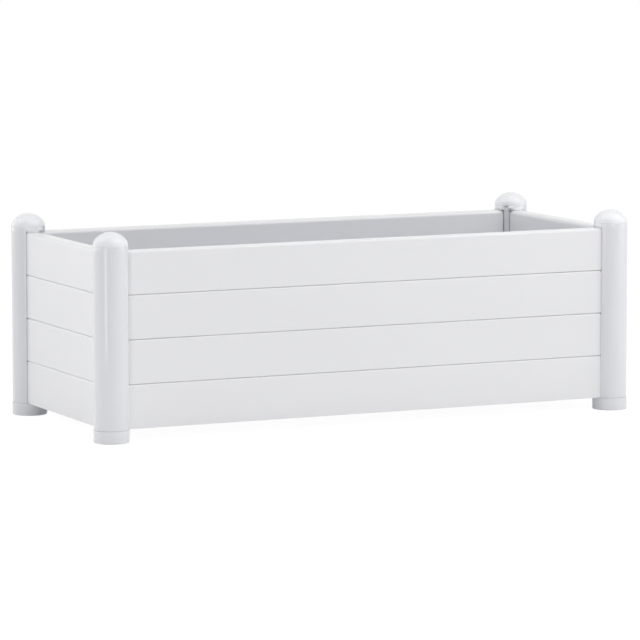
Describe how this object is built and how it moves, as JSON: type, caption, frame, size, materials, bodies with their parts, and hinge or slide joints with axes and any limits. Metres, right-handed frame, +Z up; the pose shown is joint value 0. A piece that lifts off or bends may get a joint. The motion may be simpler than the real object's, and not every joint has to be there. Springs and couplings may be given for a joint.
{
  "type": "raised garden bed",
  "caption": "Rectangular raised garden bed of stacked hollow plastic planks between round corner posts with domed caps, on low round feet.",
  "frame": {"origin": "on the ground under the middle of the bed", "axes": "+X along the bed's length, +Y across it from the front wall to the back wall, +Z up"},
  "size_m": [1, 0.435, 0.35],
  "materials": {
    "plank_plastic": "white polypropylene, satin with a fine grain",
    "post_plastic": "white polypropylene, smooth satin",
    "floor_plastic": "white polypropylene, matt",
    "screw_steel": "zinc plated"
  },
  "bodies": {
    "root": {"post_front_left": "post_plastic", "post_front_right": "post_plastic", "post_back_left": "post_plastic", "post_back_right": "post_plastic", "cap_front_left": "post_plastic", "cap_front_right": "post_plastic", "cap_back_left": "post_plastic", "cap_back_right": "post_plastic", "foot_front_left": "post_plastic", "foot_front_right": "post_plastic", "foot_back_left": "post_plastic", "foot_back_right": "post_plastic", "front_board_1": "plank_plastic", "front_board_2": "plank_plastic", "front_board_3": "plank_plastic", "front_board_4": "plank_plastic", "back_board_1": "plank_plastic", "back_board_2": "plank_plastic", "back_board_3": "plank_plastic", "back_board_4": "plank_plastic", "left_board_1": "plank_plastic", "left_board_2": "plank_plastic", "left_board_3": "plank_plastic", "left_board_4": "plank_plastic", "right_board_1": "plank_plastic", "right_board_2": "plank_plastic", "right_board_3": "plank_plastic", "right_board_4": "plank_plastic", "floor_panel_1": "floor_plastic", "floor_panel_2": "floor_plastic", "floor_panel_3": "floor_plastic", "floor_panel_4": "floor_plastic", "cross_tie": "floor_plastic", "tie_screws": "screw_steel"}
  },
  "joints": []
}
